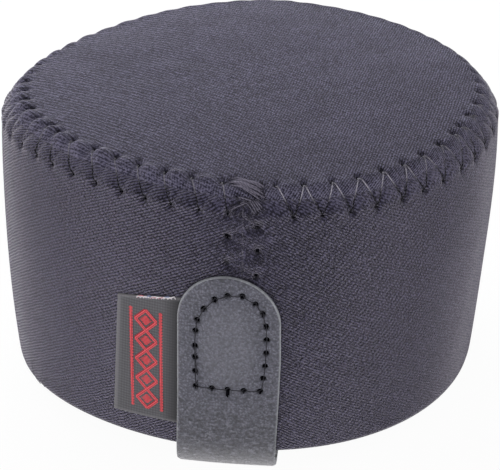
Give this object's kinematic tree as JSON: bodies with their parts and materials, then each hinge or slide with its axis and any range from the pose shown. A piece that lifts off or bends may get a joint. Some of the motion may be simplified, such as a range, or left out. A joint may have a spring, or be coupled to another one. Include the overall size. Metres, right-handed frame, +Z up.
{
  "type": "soft lens hood cap",
  "caption": "Round soft stretch cap sewn from foam laminate, with a domed crown, a side band, a leather-like pull tab round its rim and a folded side label.",
  "frame": {"origin": "bottom centre of the part's box: on the vertical mid line, at the height of the pull tab's fold, which is the lowest point", "axes": "+Z up through the crown, along the cap's own axis; the open rim faces -Z; the pull tab is at the front, towards -Y"},
  "size_m": [0.091, 0.0929, 0.0565],
  "materials": {
    "jersey": "matt knit",
    "foam": "matt foam rubber",
    "stiffener": "smooth sheet",
    "thread": "bonded thread",
    "tab": "satin, fine grain",
    "label": "woven satin",
    "motif": "woven weft"
  },
  "bodies": {
    "cap": {"side_band_face": "jersey", "side_band_foam": "foam", "side_band_lining": "jersey", "crown_face": "jersey", "crown_foam": "foam", "crown_lining": "jersey", "stiffener_disc": "stiffener", "stiffener_pocket": "jersey", "crown_seam_needle_thread": "thread", "crown_seam_bobbin_thread": "thread", "side_seam_needle_thread": "thread", "side_seam_bobbin_thread": "thread", "bartack_thread": "thread", "pull_tab_outer_end": "tab", "pull_tab_inner_end": "tab", "tab_stitch_needle_thread": "thread", "tab_stitch_bobbin_thread": "thread", "label_root": "label"},
    "tab": {"pull_tab_loop": "tab"},
    "label": {"label_flap": "label", "label_motif": "motif"}
  },
  "joints": [
    {"name": "tab_pull", "type": "hinge", "parent": "cap", "child": "tab", "pos_m": [0, -0.04395, 0.01555], "axis": [-1, 0, 0], "range_deg": [0, 5], "stiffness_Nm_per_rad": 0.02},
    {"name": "label_lift", "type": "hinge", "parent": "cap", "child": "label", "pos_m": [-0.0099, -0.0424, 0.0207], "axis": [0, -0.0687, 0.9976], "range_deg": [0, 105], "stiffness_Nm_per_rad": 0.0002}
  ]
}
